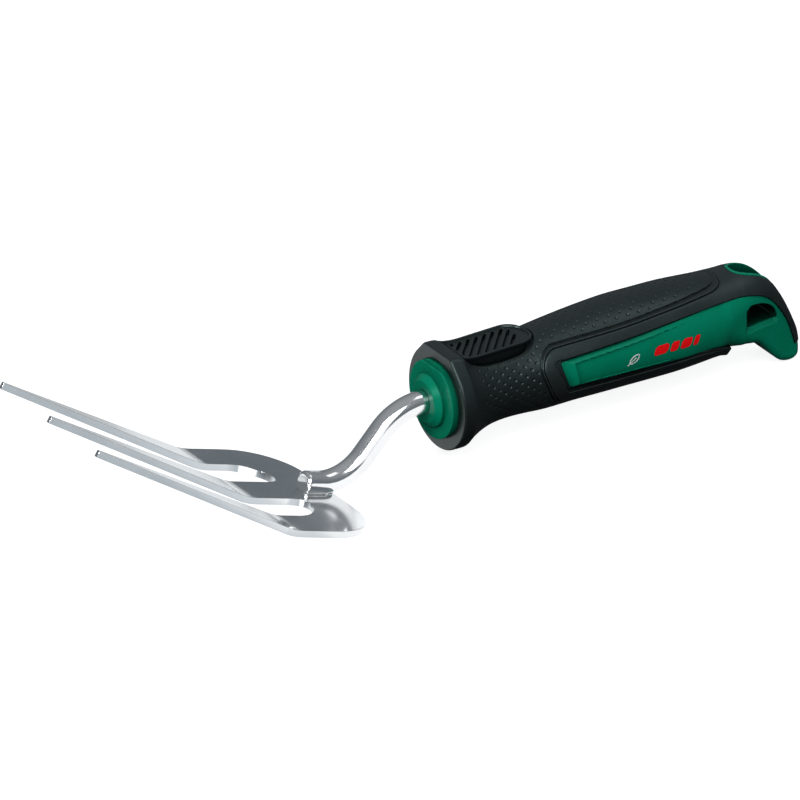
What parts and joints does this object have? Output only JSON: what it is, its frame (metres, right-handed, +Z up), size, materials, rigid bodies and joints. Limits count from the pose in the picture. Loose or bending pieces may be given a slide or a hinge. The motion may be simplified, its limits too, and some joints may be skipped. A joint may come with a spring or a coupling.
{
  "type": "hand fork",
  "caption": "Short-handled garden hand fork: flat tapering tines on a stamped steel head, bent round tang, two-component moulded handle with thumb rest, hanging hole and hook end.",
  "frame": {"origin": "on the surface the fork rests on, under the middle of its length and width, lying tines-up on the heel of the head and the tip of the hook", "axes": "+X from the tines back along the handle, +Z up on the thumb side, +Y across"},
  "size_m": [0.2994, 0.0764, 0.065],
  "materials": {
    "polished_steel": "bright polished stainless steel",
    "weld_steel": "polished fillet weld",
    "green_plastic": "satin moulded hard plastic, fine texture",
    "smooth_rubber": "smooth satin soft-touch elastomer",
    "dotted_rubber": "satin soft-touch elastomer with fine raised dots"
  },
  "bodies": {
    "root": {"fork_head": "polished_steel", "tang_rod": "polished_steel", "foot_weld": "weld_steel", "handle_core": "green_plastic", "front_collar": "green_plastic", "grip_frame": "smooth_rubber", "soft_grip": "dotted_rubber", "thumb_rest": "smooth_rubber"}
  },
  "joints": []
}
